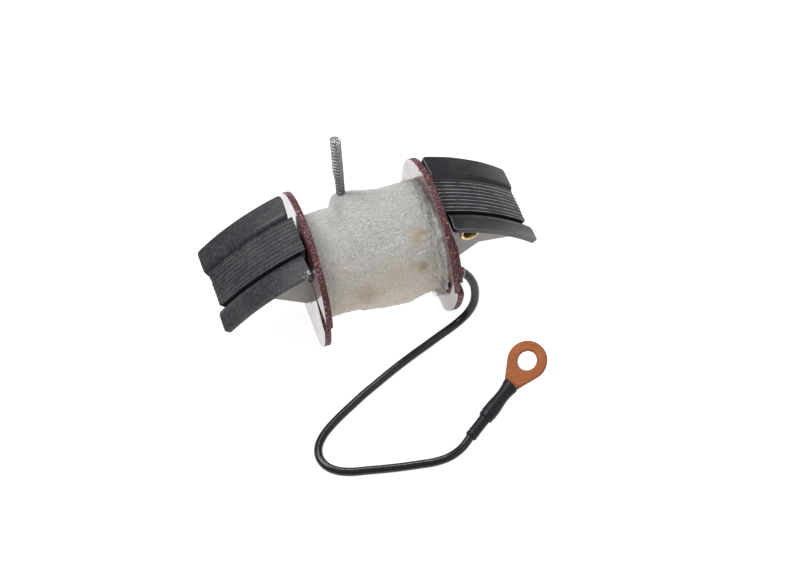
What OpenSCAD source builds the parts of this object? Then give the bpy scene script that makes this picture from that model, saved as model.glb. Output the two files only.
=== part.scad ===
// Ignition coil of a small flywheel magneto: a laminated core with two arc-shaped
// pole shoes, a taped high-voltage winding between two fibre flanges, a contact
// spring for the spark lead and a low-tension lead with a ring terminal.
// The coil stands on the flat feet of its flanges. X runs along the winding,
// -Y is the front, the winding's axis is axis_z above the floor.

/* [Core] */
// Outer radius of the pole-shoe arc
pole_r = 49; // [47:0.5:51]
// Height of the winding's axis above the flange feet
axis_z = 13; // [12.8:0.1:13.2]
// Drop of the arc's centre below the winding's axis
arc_drop = 33.2; // [32.5:0.1:34]
// Distance of the stack's shoulders from the middle, along X
shoulder_x = 15.2; // [15.2:0.05:15.5]
// Angle from the vertical to the tip of the stack
tip_angle = 44.4; // [43:0.1:45.5]
// Half height of the core's neck inside the winding
neck_half = 4.2; // [4:0.1:4.6]
// Number of laminations in the stack
lamination_count = 9; // [9:1:9]
// Thickness of one lamination
lamination_t = 1; // [0.95:0.05:1.1]

/* [Cheeks] */
// Sheet thickness of the cheek plates
cheek_t = 1.3; // [1.1:0.1:1.4]
// Angle from the vertical to the inner edge of a wing
wing_root_angle = 18.9; // [18.8:0.1:20]
// Angle from the vertical to the tip of a wing
wing_tip_angle = 45.7; // [44.5:0.1:46]
// Inner radius of the bend from the front cheek into its wings
front_bend_r = 0.9; // [0.5:0.1:1]
// Inner radius of the bend from the back cheek into its wings
back_bend_r = 0.5; // [0.3:0.1:0.7]
// Distance from the middle plane to the outer edge of each wing
front_left_wing_y = 11; // [10.5:0.1:12]
front_right_wing_y = 9.8; // [9.5:0.1:11]
back_left_wing_y = 11; // [10.5:0.1:12]
back_right_wing_y = 11; // [10.5:0.1:11.5]
// Radius of the wings' rounded corners
wing_corner_r = 0.8; // [0.6:0.1:1.6]

/* [Eyelets] */
// Distance of each eyelet from the middle, along X
eyelet_x = 20.8; // [20.5:0.1:22]
// Height of the eyelets above the winding's axis
eyelet_up = 5; // [4.2:0.1:5.1]
// Radius of the hole through an eyelet
eyelet_hole_r = 1.4; // [1.2:0.05:1.5]
// Wall of an eyelet's barrel
eyelet_wall = 0.35; // [0.3:0.05:0.4]
// Radius of an eyelet's rolled head
eyelet_head_r = 2.2; // [2.1:0.05:2.4]
// Thickness of an eyelet's rolled head
eyelet_head_t = 0.35; // [0.3:0.05:0.4]

/* [Flanges] */
// Radius of the two flanges
flange_r = 17; // [16.5:0.1:17.5]
// Thickness of a flange
flange_t = 1.4; // [1.3:0.1:1.6]
// Distance from the middle to a flange's outer face
flange_x = 14.8; // [14.6:0.05:15]
// Width of the slit that lets the wire ends through a flange
slit_w = 0.5; // [0.4:0.05:0.8]
// Downward slope of the slit, towards the front
slit_angle = 22; // [18:1:28]
// Thickness of the lead's clamp plate on the right flange
clamp_t = 0.6; // [0.4:0.1:0.7]

/* [Winding] */
// Outer radius of the primary winding
primary_r = 9; // [8.9:0.1:9.2]
// Outer radius of the paper over the primary winding
primary_paper_r = 9.3; // [9.3:0.1:9.4]
// Outer radius of the secondary winding
secondary_r = 10.7; // [10.5:0.1:10.8]
// Outer radius of the oiled cloth over the secondary winding
secondary_paper_r = 11; // [10.9:0.1:11.1]
// Outer radius of the tape at the flanges
tape_end_r = 11.4; // [11.3:0.1:11.8]
// Outer radius of the tape at its fullest
tape_full_r = 12.6; // [12.2:0.1:12.7]

/* [Contact spring] */
// Distance of the spring from the middle, along X
spring_x = -3.3; // [-4:0.1:-2]
// Distance of the spring's foot behind the middle plane
spring_y = 8.7; // [8.2:0.1:9]
// Height of the spring's foot above the floor
spring_foot_z = 23.7; // [23.5:0.1:24]
// Free length of the spring above its foot
spring_len = 16; // [15:0.1:18]
// Backward lean of the spring
spring_lean = 7.7; // [0:0.1:9]
// Radius of the coils, to the middle of the wire
spring_coil_r = 0.84; // [0.7:0.01:0.9]
// Diameter of the spring wire
spring_wire_d = 0.5; // [0.4:0.02:0.6]
// Turns of the spring
spring_turns = 18; // [16:1:20]

/* [Lead] */
// Outer diameter of the low-tension lead
lead_d = 1.8; // [1.6:0.1:2]
// Radius of the ring terminal
ring_r = 4.25; // [4:0.05:4.5]
// Radius of the ring terminal's hole
ring_hole_r = 2.1; // [2:0.05:2.2]
// Sheet thickness of the ring terminal
ring_t = 0.8; // [0.6:0.05:1]
// Upward slope of the terminal's sleeves
sleeve_rise = 12; // [8:1:14]
// Further upward bend of the ring behind the sleeves
ring_rise = 14; // [8:1:16]

/* [Hidden] */

fine = 96;
arc_z = axis_z - arc_drop;
stack_half = lamination_count * lamination_t / 2;
cheek_y = stack_half + cheek_t;
root_x = pole_r * sin(wing_root_angle);
eyelet_z = axis_z + eyelet_up;
barrel_r = eyelet_hole_r + eyelet_wall;
slip = 0.02;
overlap = 0.5;

// The pressboard sleeve round the neck, and the flange holes that fit over it
sleeve_t = 0.3;
sleeve_y = cheek_y + sleeve_t;
sleeve_up = neck_half + sleeve_t;
winding_x = flange_x - flange_t;

// The pole shoe's underside, from the neck to the tip
horn_start_x = 15.8;
horn_knee_x = 23;
horn_knee_up = 0.7;
horn_tip_t = 2.8;
beyond = 6;

// The wire ends leave a flange where its slit starts, at the sleeve's upper front corner
slit_start_y = -sleeve_y - 0.5;
slit_start_z = axis_z + sleeve_up;
wire_hole_r = 0.6;
earth_wire_r = 0.3;
earth_bead_r = 0.7;
earth_bead_y = -5.2;
earth_bead_z = axis_z + 6.3;

// The swelling of the tape over the high-voltage button, below the contact spring
hill_r = 7;
hill_rise = 7;
button_r = 1.9;
spring_hole_r = 1.25;
spring_shift_y = tan(spring_lean);
spring_tip_turns = 2;
spring_sides = 5;
spring_steps = 10;

// Route of the lead's middle line, from the bushing at the right flange over the floor
lead_z = lead_d / 2;
lead_route = [
    [16.5, -14.2, 16.3],
    [17.7, -14.5, 14.4],
    [18.6, -14.8, 11.8],
    [18.9, -15, 8.8],
    [18.6, -15.2, 5.8],
    [17.4, -15.4, 3.2],
    [15.4, -15.8, 1.5],
    [12.7, -16.7, lead_z],
    [9.6, -17.9, lead_z],
    [6.4, -19.2, lead_z],
    [3.1, -20.5, lead_z],
    [-0.2, -21.9, lead_z],
    [-3.5, -23.4, lead_z],
    [-6.8, -25, lead_z],
    [-10.1, -26.6, lead_z],
    [-13.4, -28.4, lead_z],
    [-16.6, -30.2, lead_z],
    [-19.4, -32, lead_z],
    [-21.7, -33.9, lead_z],
    [-23.2, -36, lead_z],
    [-23.7, -38.4, lead_z],
    [-23, -40.7, lead_z],
    [-21.2, -42.5, lead_z],
    [-18.6, -43.7, lead_z],
    [-15.2, -44.5, lead_z],
    [-11.8, -45.3, lead_z],
    [-8.4, -46, lead_z],
    [-4.9, -46.6, lead_z],
    [-1.5, -47.1, lead_z],
    [1.7, -47, lead_z + 0.1],
    [4.65, -46.08, lead_z + 0.48],
    [7.1, -44.52, lead_z + 1.1]
];
lead_sides = 8;

// The terminal's own line: it starts at the lead's end and slopes up to the ring
sleeve_turn = atan2(7.4, 11.6);
sleeve_inner_len = 5;
sleeve_inner_r = 1.25;
sleeve_outer_len = 9.2;
sleeve_outer_r = 1.75;
tongue_half = 1.9;
ring_offset = 6.1;

function unit(v) = v / norm(v);

// Direction of a path at point i, from its neighbours
function heading(path, i) =
    unit(path[min(i + 1, len(path) - 1)] - path[max(i - 1, 0)]);

// One side vector for each point, turned as little as possible from point to point
function side_vectors(path, start) = [
    for (i = 0, v = unit(start - (start * heading(path, 0)) * heading(path, 0));
         i < len(path);
         i = i + 1,
         v = i < len(path) ? unit(v - (v * heading(path, i)) * heading(path, i)) : v)
        v
];

// A closed tube with flat ends along a path
module tube(path, radius, sides, start) {
    across = side_vectors(path, start);
    rings = len(path);
    points = [
        for (i = [0:rings - 1], k = [0:sides - 1])
            path[i] + radius * (cos(360 * k / sides) * across[i]
                + sin(360 * k / sides) * cross(heading(path, i), across[i]))
    ];
    walls = [
        for (i = [0:rings - 2], k = [0:sides - 1])
            [(i + 1) * sides + k, (i + 1) * sides + (k + 1) % sides,
             i * sides + (k + 1) % sides, i * sides + k]
    ];
    start_cap = [for (k = [0:sides - 1]) k];
    end_cap = [for (k = [sides - 1:-1:0]) (rings - 1) * sides + k];
    polyhedron(points, concat(walls, [start_cap, end_cap]));
}

// A cylinder along Y round the given X-Z point, from y0 to y0 + thickness
module round_y(x, z, radius, y0, thickness, sides) {
    translate([x, y0 + thickness, z])
        rotate([90, 0, 0])
            cylinder(r = radius, h = thickness, $fn = sides);
}

// A point on a ray from the arc's centre at the given angle from the vertical
function arc_point(radius, angle) = [radius * sin(angle), arc_z + radius * cos(angle)];

// The right half of a core sheet's outline without its arc, from the neck's top round to
// its foot, for the given shoulder and tip
function core_edge(shoulder, tip) = [
    [shoulder, axis_z + neck_half],
    [shoulder, axis_z + 4 * beyond],
    arc_point(pole_r + beyond, tip),
    arc_point(pole_r - horn_tip_t, tip),
    [horn_knee_x, axis_z + horn_knee_up],
    [horn_start_x, axis_z - neck_half]
];

// A core sheet below an arc of the given radius, with its two eyelet holes
module core_plate(y0, thickness, radius, shoulder, tip) {
    right = core_edge(shoulder, tip);
    last = len(right) - 1;
    left = [for (i = [last:-1:0]) [-right[i][0], right[i][1]]];
    difference() {
        intersection() {
            translate([0, y0 + thickness, 0])
                rotate([90, 0, 0])
                    linear_extrude(thickness)
                        polygon(concat(right, left));
            round_y(0, arc_z, radius, y0 - 1, thickness + 2, 2 * fine);
        }
        for (side = [-1, 1])
            round_y(side * eyelet_x, eyelet_z, barrel_r + slip, y0 - 1, thickness + 2, fine / 2);
    }
}

module lamination(index) {
    color("#464450")
        core_plate(-stack_half + (index - 1) * lamination_t, lamination_t, pole_r,
                   shoulder_x, tip_angle);
}

// Points on a circle between two angles
function arc_points(centre, radius, from, to, steps) = [
    for (k = [0:steps])
        let (a = from + (to - from) * k / steps)
            centre + radius * [cos(a), sin(a)]
];

// Section of a wing and its bend: radius along X, distance from the middle plane along Y
module wing_section(outer_y, bend) {
    bend_steps = 8;
    bend_centre = [pole_r - cheek_t - bend, cheek_y + bend];
    leg_x = bend_centre[0] - overlap;
    polygon(concat(
        [[leg_x, stack_half]],
        arc_points(bend_centre, bend + cheek_t, -90, 0, bend_steps),
        [[pole_r, outer_y], [pole_r - cheek_t, outer_y]],
        arc_points(bend_centre, bend, 0, -90, bend_steps),
        [[leg_x, cheek_y]]
    ));
}

// Seen from above, the wing's rounded outer corners
module wing_plan(outer_y) {
    tip_x = pole_r * sin(wing_tip_angle) + 1;
    inner_y = stack_half - 1;
    tip_round_x = pole_r * sin(wing_tip_angle) - wing_corner_r;
    root_round_x = root_x + wing_corner_r;
    corner_y = outer_y - wing_corner_r;
    translate([root_x, inner_y]) square([tip_x - root_x, corner_y - inner_y]);
    translate([root_round_x, inner_y]) square([tip_round_x - root_round_x, outer_y - inner_y]);
    for (x = [root_round_x, tip_round_x])
        translate([x, corner_y]) circle(r = wing_corner_r, $fn = fine / 2);
}

module front_wing(outer_y, bend) {
    intersection() {
        translate([0, 0, arc_z])
            rotate([90, 0, 0])
                rotate([0, 0, 90 - wing_tip_angle])
                    rotate_extrude(angle = wing_tip_angle - wing_root_angle, $fn = 2 * fine)
                        wing_section(outer_y, bend);
        mirror([0, 1, 0]) linear_extrude(3 * axis_z) wing_plan(outer_y);
    }
}

// A cheek with its wings, at the front
module cheek(left_wing_y, right_wing_y, bend) {
    color("#6f6f78")
        union() {
            core_plate(-cheek_y, cheek_t, pole_r - cheek_t - bend, root_x, wing_tip_angle);
            front_wing(right_wing_y, bend);
            mirror([1, 0, 0]) front_wing(left_wing_y, bend);
        }
}

module cheek_front() {
    cheek(front_left_wing_y, front_right_wing_y, front_bend_r);
}

module cheek_back() {
    mirror([0, 1, 0]) cheek(back_left_wing_y, back_right_wing_y, back_bend_r);
}

module eyelet(side) {
    grip = cheek_y;
    color("#c79a4b")
        translate([side * eyelet_x, 0, eyelet_z])
            rotate([90, 0, 0])
                difference() {
                    union() {
                        cylinder(r = barrel_r, h = 2 * grip, center = true, $fn = fine / 2);
                        for (end = [-1, 1])
                            translate([0, 0, end * (grip + eyelet_head_t / 2)])
                                cylinder(r = eyelet_head_r, h = eyelet_head_t,
                                         center = true, $fn = fine / 2);
                    }
                    cylinder(r = eyelet_hole_r, h = 4 * grip, center = true, $fn = fine / 2);
                }
}

module core_sleeve() {
    color("#b09a72")
        difference() {
            translate([-flange_x, -sleeve_y, axis_z - sleeve_up])
                cube([2 * flange_x, 2 * sleeve_y, 2 * sleeve_up]);
            translate([-flange_x - 1, -cheek_y - slip, axis_z - neck_half - slip])
                cube([2 * flange_x + 2, 2 * cheek_y + 2 * slip, 2 * neck_half + 2 * slip]);
        }
}

// A disc in the Y-Z plane, cut flat at the foot, from x0 to x0 + thickness
module disc_yz(radius, x0, thickness) {
    translate([x0, 0, axis_z])
        rotate([0, 90, 0])
            cylinder(r = radius, h = thickness, $fn = 2 * fine);
}

module sleeve_opening(x0, thickness) {
    translate([x0 - 1, -sleeve_y - slip, axis_z - sleeve_up - slip])
        cube([thickness + 2, 2 * (sleeve_y + slip), 2 * (sleeve_up + slip)]);
}

module slit(x0, thickness) {
    translate([x0 - 1, slit_start_y, slit_start_z])
        rotate([slit_angle, 0, 0])
            translate([0, -flange_r, -slit_w / 2])
                cube([thickness + 2, flange_r, slit_w]);
    translate([x0 - 1, slit_start_y, slit_start_z])
        rotate([0, 90, 0])
            cylinder(r = wire_hole_r, h = thickness + 2, $fn = 32);
}

module flange(x0) {
    color("#5d2a30")
        difference() {
            disc_yz(flange_r, x0, flange_t);
            translate([x0 - 1, -flange_r, -flange_r])
                cube([flange_t + 2, 2 * flange_r, flange_r]);
            sleeve_opening(x0, flange_t);
            slit(x0, flange_t);
        }
}

// Part of a washer on the right flange's outer face, between the front cheek, its wing and the slit
module lead_clamp_plate() {
    clamp_low_z = slit_start_z - 1.3;
    clamp_high_z = slit_start_z + 6.5;
    color("#6b2f38")
        intersection() {
            disc_yz(flange_r - 0.2, flange_x, clamp_t);
            translate([flange_x - 1, -flange_r, clamp_low_z])
                cube([clamp_t + 2, flange_r - cheek_y - 2 * earth_bead_r, clamp_high_z - clamp_low_z]);
        }
}

// A layer of the winding between two radii
module layer(outer_r, inner_r) {
    difference() {
        disc_yz(outer_r, -winding_x, 2 * winding_x);
        disc_yz(inner_r, -winding_x - 1, 2 * winding_x + 2);
    }
}

module primary_winding() {
    color("#b5653a")
        difference() {
            disc_yz(primary_r, -winding_x, 2 * winding_x);
            sleeve_opening(-winding_x, 2 * winding_x);
        }
}

module primary_paper() {
    color("#cdbb93") layer(primary_paper_r, primary_r);
}

module secondary_winding() {
    color("#a3562f")
        difference() {
            layer(secondary_r, primary_paper_r);
            button_space(2 * axis_z);
        }
}

module secondary_paper() {
    color("#c4b27f")
        difference() {
            layer(secondary_paper_r, secondary_r);
            button_space(2 * axis_z);
        }
}

// Room for the high-voltage button
module button_space(top_z) {
    translate([spring_x, spring_y, axis_z])
        cylinder(r = button_r + slip, h = top_z - axis_z, $fn = fine / 2);
}

// The tape's outline: radius over the distance along the winding
module tape_section() {
    step = 3;
    polygon([
        [-winding_x, secondary_paper_r],
        [-winding_x, tape_end_r],
        [-2 * step, tape_end_r],
        [-step, tape_full_r],
        [winding_x - step, tape_full_r],
        [winding_x, (tape_end_r + tape_full_r) / 2],
        [winding_x, secondary_paper_r]
    ]);
}

module tape_wrap() {
    color("#bcb8ac")
        difference() {
            union() {
                translate([0, 0, axis_z])
                    rotate([0, 90, 0])
                        rotate_extrude($fn = 2 * fine)
                            mirror([1, -1]) tape_section();
                translate([spring_x, 0, axis_z] + hill_rise * unit([0, spring_y, spring_foot_z - axis_z]))
                    sphere(r = hill_r, $fn = fine);
            }
            disc_yz(secondary_paper_r, -winding_x - 1, 2 * winding_x + 2);
            button_space(spring_foot_z);
            translate([spring_x, spring_y, axis_z])
                cylinder(r = spring_hole_r, h = 2 * axis_z, $fn = fine / 2);
        }
}

// Brass button, soldered to the end of the secondary winding
module hv_terminal() {
    color("#b98f48")
        difference() {
            translate([spring_x, spring_y, axis_z])
                cylinder(r = button_r, h = spring_foot_z - axis_z, $fn = fine / 2);
            disc_yz(primary_paper_r, -winding_x - 1, 2 * winding_x + 2);
        }
}

// Middle line of the spring wire between two turn counts
function spring_path(from, to) = [
    for (k = [from * spring_steps:to * spring_steps])
        let (part = k / (spring_turns * spring_steps),
             rise = part * spring_len * cos(spring_lean))
            [spring_x + spring_coil_r * cos(360 * k / spring_steps),
             spring_y + spring_shift_y * rise + spring_coil_r * sin(360 * k / spring_steps),
             spring_foot_z + spring_wire_d / 2 + rise]
];

module contact_spring() {
    color("#77757a")
        tube(spring_path(0, spring_turns - spring_tip_turns), spring_wire_d / 2,
             spring_sides, [0, 0, 1]);
}

module contact_tip() {
    color("#77757a")
        tube(spring_path(spring_turns - spring_tip_turns, spring_turns), spring_wire_d / 2,
             spring_sides, [0, 0, 1]);
}

// Start of the primary winding, out through the left flange to the core
module earth_wire() {
    reach = 2.9;
    color("#b5653a")
        translate([-winding_x, slit_start_y, slit_start_z])
            rotate([0, -90, 0])
                cylinder(r = earth_wire_r, h = reach, $fn = 24);
}

module earth_solder() {
    color("#b9b6ae")
        difference() {
            translate([-root_x, earth_bead_y, earth_bead_z])
                sphere(r = earth_bead_r, $fn = 48);
            translate([-root_x - 2, earth_bead_y - 2, earth_bead_z - 2])
                cube([2, 4, 4]);
        }
}

// Varnished bead that holds the lead where it leaves the clamp plate
module lead_bushing() {
    outward = heading(lead_route, 0);
    bead_len = 1.6;
    color("#8a6a74")
        difference() {
            translate(lead_route[0])
                rotate([0, acos(outward[2]), atan2(outward[1], outward[0])])
                    translate([0, 0, -bead_len])
                        cylinder(r = lead_d / 2 + 0.35, h = bead_len, $fn = 32);
            translate([0, -flange_r, 0])
                cube([flange_x + clamp_t, flange_r, 2 * axis_z]);
        }
}

module lead_wire() {
    color("#1d1d20") tube(lead_route, lead_d / 2, lead_sides, [0, 0, 1]);
}

// Puts its children on the terminal's line: X points along the sleeves
module terminal_place() {
    translate(lead_route[len(lead_route) - 1])
        rotate([0, 0, sleeve_turn])
            rotate([0, -sleeve_rise, 0])
                children();
}

module lead_sleeve_inner() {
    color("#25252a")
        terminal_place()
            translate([slip, 0, 0])
                rotate([0, 90, 0])
                    cylinder(r = sleeve_inner_r, h = sleeve_inner_len - slip, $fn = fine / 2);
}

module lead_sleeve_outer() {
    color("#2b2c33")
        terminal_place()
            translate([sleeve_inner_len, 0, 0])
                rotate([0, 90, 0])
                    cylinder(r = sleeve_outer_r, h = sleeve_outer_len, $fn = fine / 2);
}

// Teardrop ring: a tongue that widens from the sleeve to the ring, bent upwards.
// Its bent end clears the outer sleeve.
module ring_terminal() {
    bend_gap = ring_t / 2 * sin(ring_rise) + slip;
    reach = norm([ring_offset, tongue_half]);
    flare = asin(ring_r / reach) - atan2(tongue_half, ring_offset);
    flank_len = sqrt(reach * reach - ring_r * ring_r);
    flank = [flank_len * cos(flare), tongue_half + flank_len * sin(flare) - slip];
    color("#af6a3e")
        terminal_place()
            translate([sleeve_inner_len + sleeve_outer_len + bend_gap, 0, 0])
                rotate([0, -ring_rise, 0])
                    difference() {
                        union() {
                            translate([ring_offset, 0, 0])
                                cylinder(r = ring_r, h = ring_t, center = true, $fn = fine);
                            translate([0, 0, -ring_t / 2])
                                linear_extrude(ring_t)
                                    polygon([
                                        [0, -tongue_half],
                                        [0, tongue_half],
                                        flank,
                                        [ring_offset, 0],
                                        [flank[0], -flank[1]]
                                    ]);
                        }
                        translate([ring_offset, 0, 0])
                            cylinder(r = ring_hole_r, h = 4 * ring_t, center = true, $fn = fine);
                    }
}

for (i = [1:lamination_count])
    lamination(i);
cheek_front();
cheek_back();
eyelet(-1);  // eyelet_left
eyelet(1);  // eyelet_right
core_sleeve();
flange(-flange_x);  // flange_left
flange(flange_x - flange_t);  // flange_right
lead_clamp_plate();
primary_winding();
primary_paper();
secondary_winding();
secondary_paper();
tape_wrap();
hv_terminal();
contact_spring();
contact_tip();
earth_wire();
earth_solder();
lead_bushing();
lead_wire();
lead_sleeve_inner();
lead_sleeve_outer();
ring_terminal();
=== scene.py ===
"""Looks of a flywheel-magneto ignition coil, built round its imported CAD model.

X runs along the winding towards the flange that the lead leaves, -Y is the front, Z points up
through the contact spring. Shapes are worked out in millimetres and become metres in add_piece().
"""
import math
import random

import bmesh
import bpy
import numpy as np
from mathutils import Matrix, Vector, noise
from mathutils.geometry import delaunay_2d_cdt


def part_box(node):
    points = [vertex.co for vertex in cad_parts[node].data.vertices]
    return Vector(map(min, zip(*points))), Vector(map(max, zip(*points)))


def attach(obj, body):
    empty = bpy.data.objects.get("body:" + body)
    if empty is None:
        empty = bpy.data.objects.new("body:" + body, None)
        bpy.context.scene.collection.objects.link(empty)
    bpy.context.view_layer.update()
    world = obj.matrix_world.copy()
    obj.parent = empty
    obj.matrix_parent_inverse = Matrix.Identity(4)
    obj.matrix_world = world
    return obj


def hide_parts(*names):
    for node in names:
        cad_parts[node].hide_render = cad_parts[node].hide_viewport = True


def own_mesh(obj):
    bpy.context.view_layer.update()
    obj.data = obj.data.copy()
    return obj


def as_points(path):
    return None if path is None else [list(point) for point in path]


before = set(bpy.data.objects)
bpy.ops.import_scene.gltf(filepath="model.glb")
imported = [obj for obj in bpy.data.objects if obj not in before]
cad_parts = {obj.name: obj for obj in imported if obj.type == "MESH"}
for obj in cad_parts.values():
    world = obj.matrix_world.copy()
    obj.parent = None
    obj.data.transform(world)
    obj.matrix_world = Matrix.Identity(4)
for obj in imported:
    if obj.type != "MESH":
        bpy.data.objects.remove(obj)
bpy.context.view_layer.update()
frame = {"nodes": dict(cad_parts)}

MM = 0.001
random.seed(7)


def box_mm(node):
    low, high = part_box(node)
    return low / MM, high / MM


# Dimensions of the CAD model, in millimetres
winding_low, winding_high = box_mm("primary_winding")
AXIS_Z = (winding_low.z + winding_high.z) / 2
WINDING_X = winding_high.x
LAMINATIONS = 9
lamination_low, lamination_high = box_mm("lamination_1")
LAMINATION_T = lamination_high.y - lamination_low.y
STACK_HALF = LAMINATIONS * LAMINATION_T / 2
CHEEK_T = 1.3
CHEEK_Y = STACK_HALF + CHEEK_T
CORNER_R = 0.8
POLE_R = 49.0
ARC_Z = AXIS_Z - 33.2
SHOULDER_X = 15.2
SHOULDER = math.asin(SHOULDER_X / POLE_R)
TIP = math.radians(44.4)
WING_ROOT = math.radians(18.9)
WING_TIP = math.radians(45.7)
ROOT_X = POLE_R * math.sin(WING_ROOT)
NECK_HALF = 4.2
HORN_TIP_T = 2.8
HORN_START = (15.8, AXIS_Z - NECK_HALF)
HORN_KNEE = (23.0, AXIS_Z + 0.7)
eyelet_low, eyelet_high = box_mm("eyelet_right")
EYELET_X = (eyelet_low.x + eyelet_high.x) / 2
EYELET_Z = (eyelet_low.z + eyelet_high.z) / 2
EYELET_HEAD_R = (eyelet_high.x - eyelet_low.x) / 2
EYELET_R = 1.4
BARREL_R = 1.75
FLANGE_R = 17.0
FLANGE_T = 1.4
FLANGE_X = 14.8
CLAMP_T = 0.6
CLAMP_R = 16.8
SLIT_START = (-CHEEK_Y - 0.8, AXIS_Z + 4.5)
SLIT_ANGLE = math.radians(22)
SLIT_W = 0.5
WIRE_HOLE_R = 0.6
SLEEVE_Y = CHEEK_Y + 0.32
SLEEVE_UP = NECK_HALF + 0.32
SPRING_X = -3.3
SPRING_Y = 8.7
SPRING_FOOT_Z = box_mm("contact_spring")[0].z
SPRING_WIRE_R = 0.25
SPRING_RISE = box_mm("contact_tip")[1].z - SPRING_FOOT_Z - 2 * SPRING_WIRE_R
SPRING_LEAN = math.tan(math.radians(7.7))
SPRING_TURNS = 18
TIP_TURNS = 2
LEAD_R = 0.9


# Camera, at the photograph's view
def add_camera():
    camera_data = bpy.data.cameras.new("camera")
    camera_data.sensor_width = 36.0
    camera_data.lens = 91.53
    camera = bpy.data.objects.new("camera", camera_data)
    bpy.context.collection.objects.link(camera)
    camera.location = (-0.0789, -0.2487, 0.3620)
    looking = Vector((0.1914, 0.5533, -0.8107))
    camera.rotation_euler = looking.to_track_quat("-Z", "Y").to_euler()
    bpy.context.scene.camera = camera


add_camera()


# ---------------------------------------------------------------- mesh tools
def bumpy(x, y, z):
    """Smooth noise at a point, between about -1 and 1."""
    return noise.noise(Vector((x, y, z)))


def bumpy_round(along, angle, fineness):
    """Smooth noise that closes round an axis."""
    return bumpy(along, math.cos(angle) * fineness, math.sin(angle) * fineness)


def add_piece(name, points, faces, slot, replaced=(), body="coil", smooth_angle=38, rim_from=None):
    """A new smooth-shaded piece from points in millimetres. Faces from rim_from on take material 2."""
    mesh = bpy.data.meshes.new(name)
    mesh.from_pydata([(p[0] * MM, p[1] * MM, p[2] * MM) for p in points], [], faces)
    if rim_from is not None:
        for polygon in mesh.polygons[rim_from:]:
            polygon.material_index = 1
    editable = bmesh.new()
    editable.from_mesh(mesh)
    bmesh.ops.recalc_face_normals(editable, faces=editable.faces)
    editable.to_mesh(mesh)
    editable.free()
    mesh.polygons.foreach_set("use_smooth", [True] * len(mesh.polygons))
    mesh.set_sharp_from_angle(angle=math.radians(smooth_angle))
    piece = bpy.data.objects.new(name, mesh)
    bpy.context.collection.objects.link(piece)
    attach(piece, body)
    if replaced:
        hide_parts(*replaced)
    return piece


def even_shading(piece):
    """Large faces decide the normals, so that a rounded edge doesn't shade the flat beside it."""
    weighted = piece.modifiers.new("even_shading", "WEIGHTED_NORMAL")
    weighted.keep_sharp = True
    weighted.weight = 100


def grid_faces(rows, columns, wrap_rows=False, wrap_columns=True):
    faces = []
    for i in range(rows if wrap_rows else rows - 1):
        for j in range(columns if wrap_columns else columns - 1):
            below = ((i + 1) % rows) * columns
            right = (j + 1) % columns
            faces.append((i * columns + j, i * columns + right, below + right, below + j))
    return faces


def arc(centre, radius, start, end, steps):
    """Points of a circular arc, ends included."""
    points = []
    for k in range(steps + 1):
        a = start + (end - start) * k / steps
        points.append((centre[0] + radius * math.cos(a), centre[1] + radius * math.sin(a)))
    return points


def refine(loop, step):
    """The closed loop with extra points, so that none is further than step from the next."""
    finer = []
    for i, p in enumerate(loop):
        q = loop[(i + 1) % len(loop)]
        count = max(1, math.ceil(math.dist(p, q) / step))
        for k in range(count):
            part = k / count
            finer.append((p[0] + (q[0] - p[0]) * part, p[1] + (q[1] - p[1]) * part))
    return finer


def inward(loop):
    """For each point of a closed loop, the step that moves both its edges inwards by one."""
    p = np.array(loop)
    before = p - np.roll(p, 1, axis=0)
    after = np.roll(p, -1, axis=0) - p
    before /= np.linalg.norm(before, axis=1)[:, None]
    after /= np.linalg.norm(after, axis=1)[:, None]
    left_before = np.stack([-before[:, 1], before[:, 0]], axis=1)
    left_after = np.stack([-after[:, 1], after[:, 0]], axis=1)
    spread = 1 + np.sum(left_before * left_after, axis=1)
    return (left_before + left_after) / np.maximum(spread, 0.35)[:, None]


def inside(points, loops):
    """Which points lie inside the outer loop and outside the holes."""
    x, y = points[:, 0], points[:, 1]
    crossings = np.zeros(len(points), int)
    for loop in loops:
        p = np.array(loop)
        q = np.roll(p, -1, axis=0)
        for (x0, y0), (x1, y1) in zip(p, q):
            if y0 == y1:
                continue
            spans = (y0 > y) != (y1 > y)
            crossings += spans & (x < x0 + (y - y0) * (x1 - x0) / (y1 - y0))
    return crossings % 2 == 1


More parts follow.
